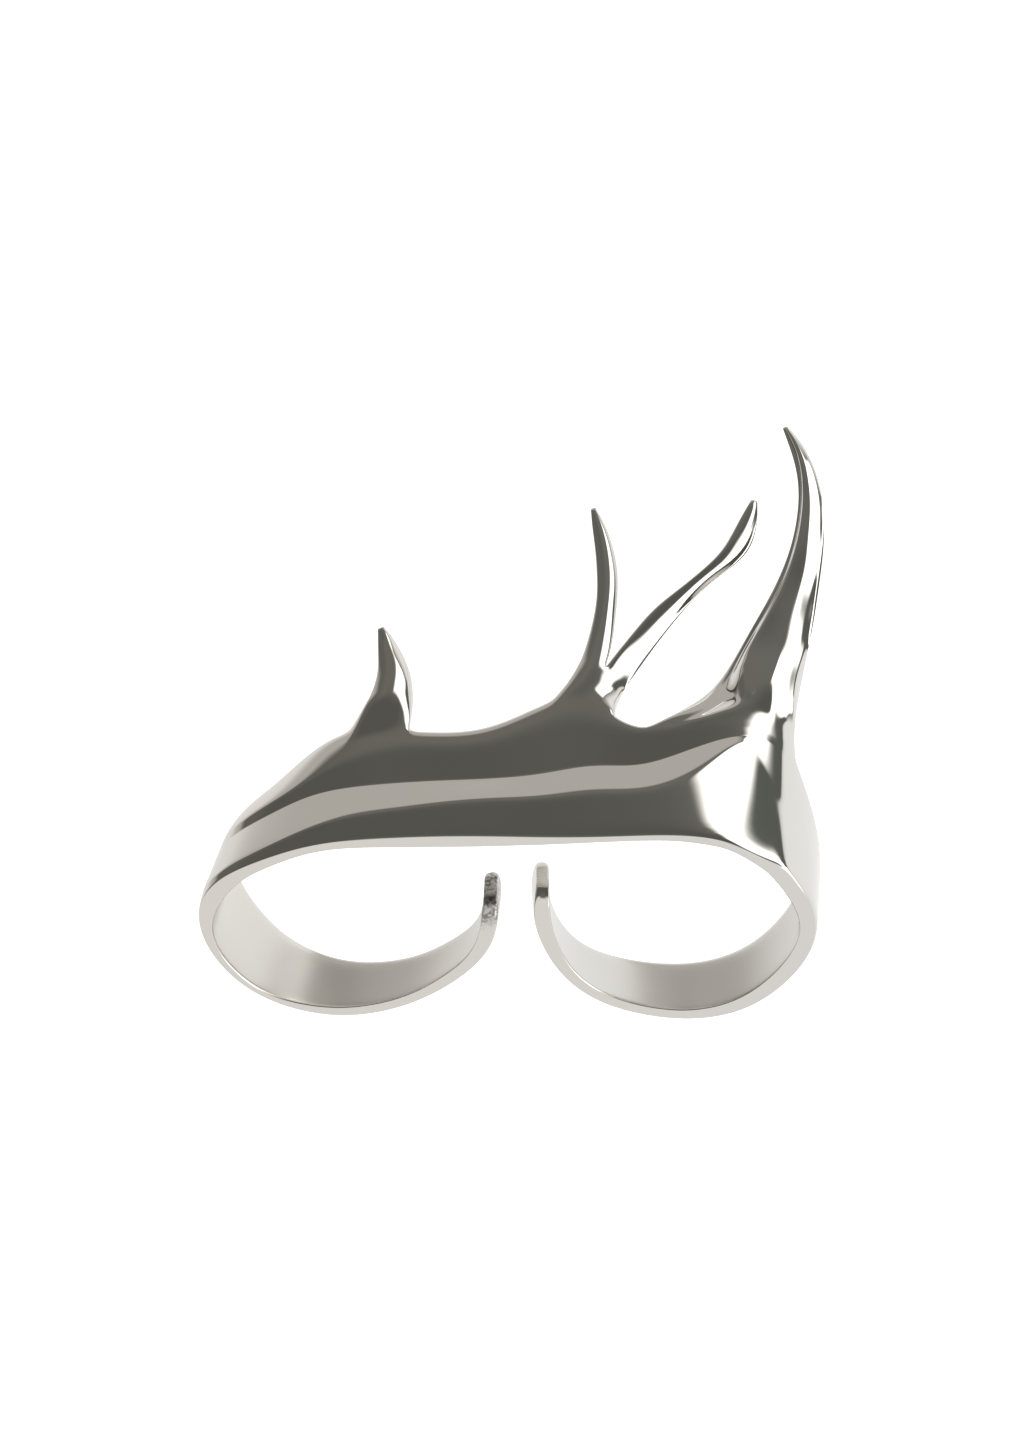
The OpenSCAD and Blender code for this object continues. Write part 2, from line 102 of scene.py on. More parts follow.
# front edge f, back edge f, then how far the back edge shifts in x and in u
DEPTH = np.array([
    (  0.30,   4.30,   0.10,   0.00),
    (  0.20,   4.30,   0.30,   0.00),
    (  0.10,   4.20,   0.50,   0.00),
    (  0.00,   4.00,   0.70,   0.00),
    (  0.00,   4.00,   0.70,   0.00),
    (  0.00,   4.10,   0.60,   0.00),
    (  0.00,   4.30,   0.50,   0.00),
    (  0.00,   4.70,   0.30,   0.10),
    (  0.00,   5.30,   0.60,   0.20),
    (  0.00,   5.90,   1.10,   0.20),
    (  0.00,   6.30,   1.60,   0.20),
    (  0.00,   6.50,   1.80,   0.20),
    (  0.00,   6.70,   1.90,   0.20),
    (  0.00,   7.10,   1.90,   0.20),
    (  0.00,   7.60,   1.60,   0.20),
    (  0.00,   8.10,   1.10,   0.30),
    (  0.00,   8.80,   0.40,   0.60),
    (  0.00,   9.40,   0.00,   1.40),
    (  0.00,   9.00,   0.00,   1.70),
    (  0.00,   8.70,   0.00,   1.70),
    (  0.00,   9.00,   0.00,   1.75),
    (  0.00,  10.40,   0.00,   2.15),
    (  0.00,  11.30,   0.00,   2.50),
    (  0.00,   8.50,   0.00,   1.70),
    (  0.00,   8.90,   0.00,   1.80),
    (  0.00,   9.40,   0.00,   2.30),
    (  0.00,   9.50,   0.90,   2.85),
    (  0.00,   9.40,   0.20,   3.55),
    (  0.00,   9.30,   0.10,   3.45),
    (  0.00,   8.90,   0.10,   2.90),
    (  0.00,   7.60,   0.30,   1.40),
    (  0.00,   6.30,   0.30,   0.30),
    (  0.00,   5.60,   0.10,   0.10),
    (  0.00,   5.30,   0.00,   0.00),
    (  0.00,   5.20,   0.00,   0.00),
    (  0.00,   5.00,   0.00,   0.00),
    (  0.00,   4.80,  -0.10,   0.00),
    (  0.00,   4.50,  -0.20,   0.00),
    (  0.00,   4.30,  -0.40,   0.00),
    (  0.00,   4.30,  -0.40,   0.00),
    (  0.10,   4.30,  -0.30,   0.00),
    (  0.20,   4.40,  -0.10,   0.00),
    (  0.30,   4.40,   0.00,   0.00),
])
# the plain face of both loops, and the row of RIM at which FACE starts
LOOP_FACE = np.array((0.32, 0.03, 0.60, 0.04, 0.80, 0.03, 0.00))
FACE_ROW = 12
# crest, valley and brow, each as share of the width and extra metal, then the back's metal
FACE = np.array([
    (  0.32,   0.03,   0.60,   0.04,   0.80,   0.03,   0.00),
    (  0.12,   0.20,   0.56,   0.15,   0.76,   0.10,   0.00),
    (  0.09,   0.38,   0.53,   0.25,   0.66,   0.50,  -0.05),
    (  0.10,   0.50,   0.52,   0.30,   0.62,   0.80,   0.00),
    (  0.14,   0.54,   0.53,   0.10,   0.65,   0.70,   0.45),
    (  0.19,   0.63,   0.50,  -0.07,   0.74,   0.73,   0.75),
    (  0.22,   0.66,   0.53,  -0.18,   0.86,   0.66,   0.50),
    (  0.27,   0.70,   0.56,  -0.22,   0.87,   0.60,   0.42),
    (  0.29,   0.76,   0.55,  -0.16,   0.87,   0.66,   0.48),
    (  0.26,   0.80,   0.50,  -0.10,   0.88,   0.88,   0.68),
    (  0.28,   0.80,   0.52,  -0.10,   0.89,   0.86,   0.72),
    (  0.37,   0.78,   0.67,  -0.04,   0.94,   0.72,   0.75),
    (  0.44,   0.78,   0.75,  -0.05,   0.94,   0.48,   0.60),
    (  0.64,   0.62,   0.82,   0.08,   0.95,   0.36,   0.42),
    (  0.83,   0.22,   0.88,   0.20,   0.95,   0.22,   0.28),
    (  0.55,  -0.02,   0.88,   0.12,   0.95,   0.14,   0.15),
    (  0.50,  -0.18,   0.86,   0.00,   0.94,   0.06,   0.10),
    (  0.60,   0.00,   0.76,   0.00,   0.88,   0.00,   0.00),
    (  0.32,   0.03,   0.60,   0.04,   0.80,   0.03,   0.00),
])
# flame sections: left edge x, f and drop under the flames' slope, the same of the right
# edge, metal over and under the line between them, left flank's share, place of the ridge
HORN_1 = np.array([
    (-11.50,   9.00,   0.00,  -7.20,   8.60,   0.00,   0.75,   0.75,   0.15,   0.66),
    (-10.80,   9.80,   0.00,  -7.00,   9.90,   0.35,   0.85,   0.70,   0.15,   0.68),
    (-10.10,  10.70,   0.00,  -6.90,  11.20,   0.70,   0.90,   0.65,   0.15,   0.70),
    ( -9.70,  11.70,   0.00,  -7.00,  12.60,   0.60,   0.85,   0.60,   0.15,   0.70),
    ( -9.40,  12.90,   0.00,  -7.40,  13.90,   0.60,   0.75,   0.50,   0.15,   0.70),
    ( -9.40,  14.10,   0.00,  -8.00,  15.10,   0.50,   0.55,   0.40,   0.15,   0.68),
    ( -9.40,  15.20,   0.00,  -8.60,  15.80,   0.10,   0.36,   0.28,   0.20,   0.66),
    ( -9.40,  16.10,   0.00,  -9.00,  16.20,   0.00,   0.18,   0.16,   0.30,   0.60),
])
STEM = np.array([
    (  2.70,  10.80,   0.00,   7.10,   8.90,   0.00,   0.80,   0.80,   0.10,   0.85),
    (  3.50,  11.70,   0.00,   7.20,   9.80,   0.25,   0.85,   0.75,   0.10,   0.74),
    (  4.20,  12.70,   0.00,   7.40,  10.90,   0.60,   0.85,   0.70,   0.12,   0.64),
    (  4.80,  13.80,   0.00,   7.90,  12.20,   0.80,   0.80,   0.65,   0.12,   0.57),
])
HORN_2 = np.array([
    (  4.80,  13.80,   0.00,   6.40,  13.40,   0.10,   0.80,   0.65,   0.15,   0.60),
    (  5.20,  15.00,   0.00,   6.90,  14.90,   0.10,   0.75,   0.60,   0.15,   0.50),
    (  5.60,  16.60,   0.00,   7.20,  16.70,   0.10,   0.70,   0.55,   0.15,   0.50),
    (  5.90,  18.40,   0.00,   7.40,  18.60,   0.10,   0.65,   0.50,   0.15,   0.52),
    (  5.90,  20.20,   0.00,   7.40,  20.40,   0.10,   0.60,   0.45,   0.15,   0.56),
    (  5.80,  22.00,   0.00,   7.10,  22.10,   0.10,   0.52,   0.40,   0.15,   0.60),
    (  5.60,  23.60,   0.00,   6.60,  23.70,   0.00,   0.38,   0.30,   0.20,   0.60),
    (  5.50,  25.10,   0.00,   5.80,  25.20,   0.00,   0.18,   0.16,   0.30,   0.60),
])
HORN_3 = np.array([
    (  6.40,  13.40,   0.10,   7.90,  12.20,   0.80,   0.80,   0.65,   0.12,   0.50),
    (  7.20,  14.40,   0.00,   8.80,  13.60,   0.85,   0.72,   0.60,   0.06,   0.30),
    (  8.40,  15.80,   0.00,   9.90,  15.20,   0.80,   0.66,   0.55,   0.04,   0.20),
    (  9.90,  17.60,   0.00,  11.20,  17.00,   0.80,   0.60,   0.50,   0.03,   0.15),
    ( 11.60,  19.00,   0.00,  12.70,  18.80,   0.70,   0.52,   0.45,   0.03,   0.15),
    ( 13.20,  20.40,   0.00,  14.10,  20.20,   0.70,   0.46,   0.40,   0.03,   0.15),
    ( 14.50,  21.70,   0.00,  15.50,  21.30,   0.70,   0.50,   0.40,   0.03,   0.16),
    ( 15.30,  23.00,   0.00,  16.70,  22.60,   0.70,   0.52,   0.45,   0.04,   0.20),
    ( 16.00,  24.40,   0.00,  17.20,  24.30,   0.40,   0.42,   0.38,   0.08,   0.30),
    ( 16.80,  25.80,   0.00,  17.20,  25.70,   0.00,   0.18,   0.16,   0.20,   0.50),
])
HORN_4 = np.array([
    (  9.30,   8.50,   0.30,  19.70,   7.80,   2.30,   1.00,   0.80,   0.02,   0.72),
    ( 11.00,   9.60,   0.50,  19.70,   9.20,   2.45,   1.20,   1.00,   0.15,   0.70),
    ( 12.70,  11.40,   1.35,  19.80,  10.90,   3.00,   1.98,   1.10,   0.28,   0.65),
    ( 14.20,  13.40,   2.20,  20.00,  12.40,   2.45,   2.15,   1.00,   0.16,   0.67),
    ( 15.40,  15.10,   2.00,  20.40,  14.20,   1.85,   1.50,   0.90,   0.08,   0.66),
    ( 16.50,  16.60,   1.20,  20.80,  15.80,   1.20,   0.88,   0.80,   0.08,   0.64),
    ( 17.60,  18.20,   0.65,  21.20,  17.90,   1.15,   0.62,   0.75,   0.08,   0.60),
    ( 18.60,  20.20,   0.60,  21.50,  20.00,   1.00,   0.58,   0.70,   0.10,   0.55),
    ( 19.40,  22.20,   0.45,  21.80,  21.90,   0.40,   0.55,   0.65,   0.10,   0.50),
    ( 19.90,  24.30,   0.35,  21.90,  24.20,   0.27,   0.50,   0.60,   0.10,   0.50),
    ( 20.10,  26.40,   0.25,  21.70,  26.50,   0.16,   0.45,   0.50,   0.12,   0.50),
    ( 19.90,  28.30,   0.10,  21.10,  28.60,   0.02,   0.40,   0.38,   0.20,   0.56),
    ( 19.40,  30.00,   0.05,  20.20,  30.30,   0.02,   0.28,   0.26,   0.30,   0.60),
    ( 19.00,  31.20,   0.00,  19.30,  31.30,   0.00,   0.18,   0.16,   0.30,   0.60),
])

DRAWN_WIDTH = 43.9  # width of the ring that the tables give, mm
STEPS = 3  # band sections between two rows of RIM
END = (0.03, 0.12, 0.28, 0.50, 0.75)  # places of the sections that round off a free end
OUT, TAIL, IN, NP = 13, 15, 17, 24  # points of a section: last outer, back edge, first inner, all
VALLEY = 8  # point of a section at the bottom of the crease
CREASE_ROWS = (13, 26)  # rows of RIM between which the crease is sharp
CREASE = 0.8  # how sharp it is at most
CORNER_ROW = 28  # row of RIM at the right end of the plate
CORNER = 0.7  # how sharp the plate's corner is there
CUT_ROWS = 1.4  # rows over which the cut end's roughness runs out
ROWS = len(RIM)
RIM_ROUND = 0.16  # rounding of the front rims, mm


def knot(table, i):
    """Control value whose smooth curve passes through row i of the table."""

    def row(k):
        if k < 0:
            return table[0] - k * (table[0] - table[1])
        if k < len(table):
            return table[k]
        return table[-1] + (k - len(table) + 1) * (table[-1] - table[-2])

    return row(i) - (row(i - 1) - 2 * row(i) + row(i + 1)) / 6


def along(table, t):
    """Smooth curve through the rows of a table, at place t counted in rows."""
    i = math.floor(t)
    w = t - i
    return (
        (1 - w) ** 3 * knot(table, i - 1)
        + (3 * w**3 - 6 * w**2 + 4) * knot(table, i)
        + (-3 * w**3 + 3 * w**2 + 3 * w + 1) * knot(table, i + 1)
        + w**3 * knot(table, i + 2)
    ) / 6


def mix(a, b, share):
    return a + (b - a) * share


def ease(s):
    s = min(1, max(0, s))
    return s * s * (3 - 2 * s)


def bend(a, b, c, share):
    """Point on the parabola that leaves a towards b and arrives at c."""
    return mix(mix(a, b, share), mix(b, c, share), share)


def profile(front_f, back_f, wall, face):
    """One section of the band as points (f, h); h leaves the inner face at a right angle."""
    width = back_f - front_f
    edge = RIM_ROUND * min(1, width / 2)

    def point(f, h):
        return np.array((f, h))

    front = point(front_f, wall)
    crest = point(front_f + width * face[0], wall + face[1])
    valley = point(front_f + width * face[2], wall + face[3])
    brow = point(front_f + width * face[4], wall + face[5])
    back = point(back_f, wall + face[6])
    root = mix(brow, back, 0.4)
    under = point(front_f + width * 0.88, 0)
    tail = point(back_f, (wall + face[6]) * 0.5)
    turn = mix(front, crest, 0.92)
    fall = mix(crest, valley, 0.14)
    return np.array([
        mix(front, crest, edge / (width * face[0])),
        mix(front, crest, 0.4),
        mix(front, crest, 0.72),
        turn,
        bend(turn, crest, fall, 0.5),
        fall,
        mix(crest, valley, 0.6),
        mix(crest, valley, 0.93),
        valley,
        mix(valley, brow, 0.10),
        mix(valley, brow, 0.33),
        mix(valley, brow, 0.60),
        mix(valley, brow, 0.86),
        root,
        bend(root, back, tail, 0.55),
        tail,
        bend(tail, point(back_f, 0), under, 0.45),
        under,
        point(front_f + width * 0.66, 0),
        point(front_f + width * 0.42, 0),
        point(front_f + width * 0.2, 0),
        point(front_f + edge * 0.5, 0),
        point(front_f, edge * 0.5),
        point(front_f, wall - edge),
    ])


def section(t):
    """One closed section of the band in the ring frame, at place t counted in rows."""
    rim, depth = along(RIM, t), along(DEPTH, t)
    j = t - FACE_ROW
    face = along(FACE, j) if 0 < j < len(FACE) - 1 else LOOP_FACE
    from_end = min(t, ROWS - 1 - t)
    open_share = math.sqrt(1 - (1 - from_end) ** 2) if from_end < 1 else 1
    middle = (depth[0] + depth[1]) / 2
    front_f, back_f = (mix(middle, edge, open_share) for edge in depth[:2])
    across = rim[2:] - rim[:2]
    wall = np.linalg.norm(across)
    across = across / wall
    points = []
    for f, h in profile(front_f, back_f, wall, face):
        share = (f - depth[0]) / (depth[1] - depth[0])
        points.append((
            rim[0] + across[0] * h + depth[2] * share,
            f,
            rim[1] + across[1] * h + depth[3] * share,
        ))
    return np.array(points)


def section_at(row):
    """Number of the section that lies on a row of RIM."""
    return len(END) + (row - 1) * STEPS


def at(i, j):
    return i * NP + j % NP


FLANK_METAL = 0.3  # metal over the left flank, as a share of that over the ridge
FLANK_STEP = 0.1  # share of the width in which the flank steps up to the top
EDGE_PLACE = 0.84  # place across a flame where its top gets steeper
THIN_EDGE = 0.4  # how much thinner the underside gets at both edges, as a share
NEAR_EDGE = 0.01  # share of the width over which the two edges round off
SADDLE_OUT = np.array((0.02, 0.25, 0.08))  # how far the fork's bottom stands off the stem, mm


def flame_section(h, m, sizes):
    """Section of a flame: m + 1 points on each face and three on each edge."""

    def sheet_u(f):
        return sizes.flame_root / MM + f * math.tan(sizes.flame_rise)

    left = np.array((h[0], h[1], sheet_u(h[1]) - h[2]))
    right = np.array((h[3], h[4], sheet_u(h[4]) - h[5]))
    w = right - left
    wide = np.linalg.norm(w)

    def top(a):
        flank = h[6] * FLANK_METAL + a * (sizes.flank_rise * wide - w[2])
        fall = sizes.ridge_fall * max(0, a - h[9]) + sizes.edge_fall * max(0, a - EDGE_PLACE)
        return mix(flank, h[6] - wide * fall, ease((a - h[8]) / FLANK_STEP))

    def low(a):
        return -h[7] * (1 - THIN_EDGE * (2 * a - 1) ** 4)

    lift = np.array((0, -math.sin(sizes.flame_rise), math.cos(sizes.flame_rise)))
    n = lift - w * (lift @ w) / (w @ w)
    n = n / np.linalg.norm(n)
    across = [0.05 + 0.9 * (i / m - 0.07 * math.sin(2 * math.pi * i / m)) for i in range(m + 1)]
    near_left, near_right = left + w * NEAR_EDGE, right - w * NEAR_EDGE
    return np.array(
        [left + w * a + n * top(a) for a in across]
        + [near_right + n * top(1) * 0.5, right, near_right + n * low(1) * 0.6]
        + [left + w * a + n * low(a) for a in reversed(across)]
        + [near_left + n * low(0) * 0.6, left, near_left + n * top(0) * 0.6]
    )


class Shape:
    """Points and faces of the ring, built up piece by piece."""

    def __init__(self, sizes):
        self.sizes = sizes
        self.points = []
        self.faces = []

    def add_points(self, points):
        start = len(self.points)
        self.points.extend(points)
        return start

    def facing(self, i, j, back):
        """Direction off the band's surface at a point of the back edge."""
        along_edge = self.points[at(i + 1, j)] - self.points[at(i - 1, j)]
        n = np.cross(along_edge, self.points[at(i, j)] - self.points[at(i, back)])
        return n / np.linalg.norm(n)

    def root_normals(self, a, b):
        """Those directions for a root ring, and none for its two short edges."""
        none = [np.zeros(3)] * 3
        upper = [self.facing(i, OUT, OUT - 1) for i in range(a, b + 1)]
        lower = [self.facing(i, IN, IN + 1) for i in range(b, a - 1, -1)]
        return np.array(upper + none + lower + none)

    def flame(self, table, root, fade, normals=None):
        """Rings of a flame that grows from the points of root; returns them."""
        n = len(root)
        m = (n - 8) // 2
        first, second = (flame_section(along(table, t), m, self.sizes) for t in (0, 0.5))
        offset = np.array([self.points[i] for i in root]) - first
        if normals is None:
            normals = np.zeros((n, 3))
        slope = normals * (normals * (second - first)).sum(1)[:, None]
        rings = [list(root)]
        for i in range(1, (len(table) - 1) * 2 + 1):
            now = flame_section(along(table, i / 2), m, self.sizes)
            kept = 1 - ease(i / fade)
            start = self.add_points(now + offset * kept - slope * i * max(0, 1 - i / fade) ** 2)
            rings.append(list(range(start, start + n)))
        for low, high in zip(rings, rings[1:]):
            for q in range(n):
                r = (q + 1) % n
                self.faces.append((low[q], high[q], high[r], low[r]))
        return rings

    def close(self, ring):
        """Closes the tip of a flame with faces between its upper and lower points."""
        n = len(ring)
        m = (n - 8) // 2
        for q in range(m):
            self.faces.append((ring[q + 1], ring[q], ring[n - 4 - q], ring[n - 5 - q]))
        self.faces.append((ring[m], ring[m + 4], ring[m + 3], ring[m + 2], ring[m + 1]))
        self.faces.append((ring[n - 4], ring[0], ring[n - 1], ring[n - 2], ring[n - 3]))


def root_ring(a, b):
    """Ring of band points from which a flame grows, between sections a and b."""
    return (
        [at(i, OUT) for i in range(a, b + 1)]
        + [at(b, OUT + 1), at(b, TAIL), at(b, IN - 1)]
        + [at(i, IN) for i in range(b, a - 1, -1)]
        + [at(a, IN - 1), at(a, TAIL), at(a, OUT + 1)]
    )


def ring_shape(sizes):
    """The whole ring in the ring frame: band, stem and four flames."""
    shape = Shape(sizes)
    root_rings = sizes.root_rings
    places = (
        list(END)
        + [1 + i / STEPS for i in range((ROWS - 3) * STEPS + 1)]
        + [ROWS - 1 - e for e in reversed(END)]
    )
    for t in places:
        shape.add_points(section(t))
    count = len(places)

    third = round(STEPS / 3)
    horn_1 = (section_at(17), section_at(18) + third)
    stem = (section_at(21) + third, section_at(23) - third)
    horn_4 = (section_at(23) + third, section_at(29) - third)

    for i in range(count - 1):
        for j in range(NP):
            open_here = any(a <= i < b for a, b in (horn_1, stem, horn_4))
            if not (open_here and OUT <= j < IN):
                shape.faces.append((at(i, j), at(i, j + 1), at(i + 1, j + 1), at(i + 1, j)))
    for i, turned in ((0, True), (count - 1, False)):
        strips = (
            (23, 0, 21, 22), (0, 1, 2, 20, 21), (2, 3, 4, 5, 19, 20),
            (5, 6, 7, 8, 9, 18, 19), (9, 10, 11, 12, 13, 17, 18), (13, 14, 15, 16, 17),
        )
        for strip in strips:
            face = tuple(at(i, j) for j in strip)
            shape.faces.append(face[::-1] if turned else face)

    for table, ends, fade in ((HORN_1, horn_1, root_rings - 2), (HORN_4, horn_4, root_rings)):
        normals = shape.root_normals(*ends)
        shape.close(shape.flame(table, root_ring(*ends), fade, normals)[-1])

    # the stem's last ring is shared between two flames by three saddle points
    root = root_ring(*stem)
    m = stem[1] - stem[0]
    half = m // 2
    ring = shape.flame(STEM, root, root_rings + 1, shape.root_normals(*stem))[-1]
    far = 2 * m + 4 - half
    top, under = shape.points[ring[half]], shape.points[ring[far]]
    saddle = shape.add_points([mix(top, under, s) + SADDLE_OUT for s in (0.2, 0.5, 0.8)])
    left = ring[: half + 1] + [saddle, saddle + 1, saddle + 2] + ring[far:]
    right = ring[half : far + 1] + [saddle + 2, saddle + 1, saddle]
    shape.close(shape.flame(HORN_2, left, root_rings)[-1])
    shape.close(shape.flame(HORN_3, right, root_rings)[-1])
    return shape, places


def rest_turn(lean, roll):
    """Turn from the ring frame to the frame of the ring as it lies on a table."""
    return Matrix.Rotation(roll, 3, "Y") @ Matrix.Rotation(-lean, 3, "X")


class Wire:
    """A node's output; arithmetic on it adds the Math nodes that work it out."""

    def __init__(self, net, socket):
        self.net = net
        self.socket = socket

    def math(self, operation, *others):
        inputs = {i: value for i, value in enumerate((self, *others))}
        return self.net.node("ShaderNodeMath", {"operation": operation}, inputs)

    def __add__(self, other):
        return self.math("ADD", other)

    __radd__ = __add__

    def __mul__(self, other):
        return self.math("MULTIPLY", other)

    __rmul__ = __mul__

    def __sub__(self, other):
        return self.math("SUBTRACT", other)

    def __rsub__(self, other):
        return (self * -1) + other

    def __truediv__(self, other):
        return self.math("DIVIDE", other)

    def step(self, low, high):
        """0 up to low, 1 from high on, and a smooth rise between them."""
        settings = {"interpolation_type": "SMOOTHSTEP"}
        inputs = {"Value": self, "From Min": low, "From Max": high}
        return self.net.node("ShaderNodeMapRange", settings, inputs)


class Net:
    """The node tree of one material or of the world."""

    def __init__(self, tree):
        self.tree = tree
        tree.nodes.clear()

    def node(self, kind, settings=None, inputs=None, out=0):
        """Adds one node; returns its output out, a name or a number, or nothing if it has none."""
        made = self.tree.nodes.new(kind)
        for name, value in (settings or {}).items():
            setattr(made, name, value)
        for name, value in (inputs or {}).items():
            socket = made.inputs[name]
            if isinstance(value, Wire):
                self.tree.links.new(value.socket, socket)
            else:
                socket.default_value = value
        return Wire(self, made.outputs[out]) if len(made.outputs) else None

    def dot(self, wire, axis):
        """Length of a vector along an axis."""
        inputs = {0: wire, 1: tuple(axis)}
        return self.node("ShaderNodeVectorMath", {"operation": "DOT_PRODUCT"}, inputs, "Value")

    def blend(self, share, first, second):
        """Colour between first and second; a Mix node's colours are its sockets 6, 7 and 2."""
        inputs = {0: share, 6: first, 7: second}
        return self.node("ShaderNodeMix", {"data_type": "RGBA"}, inputs, 2)


def new_net(name):
    material = bpy.data.materials.new(name)
    material.use_nodes = True
    return material, Net(material.node_tree)


def polished_silver(sizes):
    """Mirror-bright cast silver: fine polishing lines, satin inside the loops, a rough cut end
    coloured dark, and the left side tinted warmer as a painted warm reflection.
    """
    material, net = new_net("polished_silver")
    place = net.node("ShaderNodeTexCoord", out="Object")
    inside = net.node("ShaderNodeAttribute", {"attribute_name": "inside"}, out="Fac")
    cut_end = net.node("ShaderNodeAttribute", {"attribute_name": "cut_end"}, out="Fac")

    def noise(scale, detail):
        """Noise with about scale blotches to a metre."""
        inputs = {"Vector": place, "Scale": scale, "Detail": detail}
        return net.node("ShaderNodeTexNoise", {}, inputs)

    cloud = noise(260.0, 3.0)
    grain = noise(5200.0, 2.0)
    scratch = noise(3600.0, 4.0)
    # the cut end is coloured dark, mottled by the scratch noise
    cut_end_dark = cut_end * (0.35 + 0.65 * scratch.step(0.42, 0.62))
    # painted warm reflection: the left side of the metal is tinted warmer, standing in for warmer
    # light reflected there; the cloud noise adds a random warm mottle
    across = net.node("ShaderNodeSeparateXYZ", {}, {"Vector": place}, "X")
    left = 1 - across.step(-0.02, 0.02)
    mottle_and_painted_warmth = 0.3 * cloud.step(0.3, 0.75) + 0.7 * left
    clean = net.blend(mottle_and_painted_warmth, tuple(sizes.silver), tuple(sizes.painted_warm_reflection))
    colour = net.blend(cut_end_dark, clean, tuple(sizes.cut_end_dark))
    roughness = (
        sizes.polish
        + 0.02 * cloud.step(0.35, 0.8)
        + inside * (sizes.satin - sizes.polish)
        + cut_end * 0.18
    )
    height = grain * inside * 0.3 + scratch * cut_end + cloud * 0.1
    bump = net.node(
        "ShaderNodeBump", {}, {"Height": height, "Strength": 0.12, "Distance": 0.00004}
    )
    surface = net.node("ShaderNodeBsdfPrincipled", {}, {
        "Base Color": colour,
        "Metallic": 1.0,
        "Roughness": roughness,
        "Normal": bump,
    })
    net.node("ShaderNodeOutputMaterial", {}, {"Surface": surface})
    return material


class DoubleRingSizes(bpy.types.PropertyGroup):
    """Sizes and finish of the ring."""

    width: bpy.props.FloatProperty(
        name="Width", description="Width over both loops", default=0.0439, unit="LENGTH"
    )
    flame_rise: bpy.props.FloatProperty(
        name="Flame rise", description="Slope of the flames above the finger axis",
        default=math.radians(18), subtype="ANGLE",
    )
    flame_root: bpy.props.FloatProperty(
        name="Flame root", description="Height of the plate's back edge, where that slope starts",
        default=0.00047, unit="LENGTH",
    )
    root_rings: bpy.props.IntProperty(
        name="Root rings", description="Rings over which a flame leaves the plate's shape",
        default=6, min=3, max=12,
    )
    ridge_fall: bpy.props.FloatProperty(
        name="Ridge fall", description="Slope of a flame's top at the right of its ridge",
        default=0.5, min=0.1, max=0.8,
    )
    edge_fall: bpy.props.FloatProperty(
        name="Edge fall", description="How much steeper that slope gets close to the right edge",
        default=0.18, min=0, max=0.6,
    )
    flank_rise: bpy.props.FloatProperty(
        name="Flank rise", description="Slope of a flame's left flank towards the ridge",
        default=0.02, min=0, max=0.6,
    )
    rest_lean: bpy.props.FloatProperty(
        name="Lean at rest", description="How far the finger axis points down at the back",
        default=math.radians(46.2), subtype="ANGLE",
    )
    rest_roll: bpy.props.FloatProperty(
        name="Roll at rest", description="Side lean that lets both loops touch the table",
        default=math.radians(-0.8), subtype="ANGLE",
    )
    smoothing: bpy.props.IntProperty(
        name="Smoothing", description="Subdivisions of the ring's surface", default=2, min=1, max=3
    )
    silver: bpy.props.FloatVectorProperty(
        name="Silver", description="Colour of the clean metal", subtype="COLOR", size=4,
        default=(0.70, 0.685, 0.645, 1), min=0, max=1,
    )
    # painted warm reflection: colour that tints the left side of the metal warmer
    painted_warm_reflection: bpy.props.FloatVectorProperty(
        name="Painted warm reflection", description="Colour of the metal at the left, a little warmer", subtype="COLOR",
        size=4, default=(0.70, 0.672, 0.622, 1), min=0, max=1,
    )
    # dark colour given to the cut end
    cut_end_dark: bpy.props.FloatVectorProperty(
        name="Cut end dark", description="Colour of the rough cut end", subtype="COLOR", size=4,
        default=(0.21, 0.20, 0.185, 1), min=0, max=1,
    )
    polish: bpy.props.FloatProperty(
        name="Polish", description="Roughness of the outer faces", default=0.06, min=0, max=1
    )
    satin: bpy.props.FloatProperty(
        name="Satin", description="Roughness inside the loops", default=0.28, min=0, max=1
    )


def room_colour(name, description, default):
    """Property for the light that comes from one part of the room."""
    return bpy.props.FloatVectorProperty(
        name=name, description=description, subtype="COLOR", size=3, default=default,
        min=0, max=4,
    )


class DoubleRingStage(bpy.types.PropertyGroup):
    """Floor, light and camera."""

    picture_width: bpy.props.FloatProperty(
        name="Picture width", description="Width that the camera takes in", default=0.0716,
        unit="LENGTH",
    )
    aim_drop: bpy.props.FloatProperty(
        name="Aim drop", description="How far below the ring's middle the camera looks",
        default=0.00014, unit="LENGTH",
    )
    lens: bpy.props.FloatProperty(
        name="Lens", description="Focal length in millimetres", default=600, min=50, max=2000
    )
    floor_glow: bpy.props.FloatProperty(
        name="Floor glow", description="Light that the floor gives by itself", default=0.9, min=0
    )
    ceiling: room_colour("Ceiling", "Light from overhead", (0.120, 0.120, 0.112))
    upper_wall: room_colour("Upper wall", "The wall's dark upper part", (0.240, 0.232, 0.215))
    lower_wall: room_colour("Lower wall", "The wall's pale lower part", (0.567, 0.549, 0.530))
    ground: room_colour("Ground", "Light from under the horizon", (0.921, 0.911, 0.916))
    front_wall: room_colour("Front wall", "Light from the front", (0.931, 0.921, 0.926))
    right_ground: room_colour("Right ground", "Light from low right", (1.065, 1.066, 1.076))
    softbox: room_colour("Softbox", "The long lamp at the right", (2.35, 2.33, 2.30))
    gap: room_colour("Gap", "The dark gap under that lamp", (0.127, 0.136, 0.124))


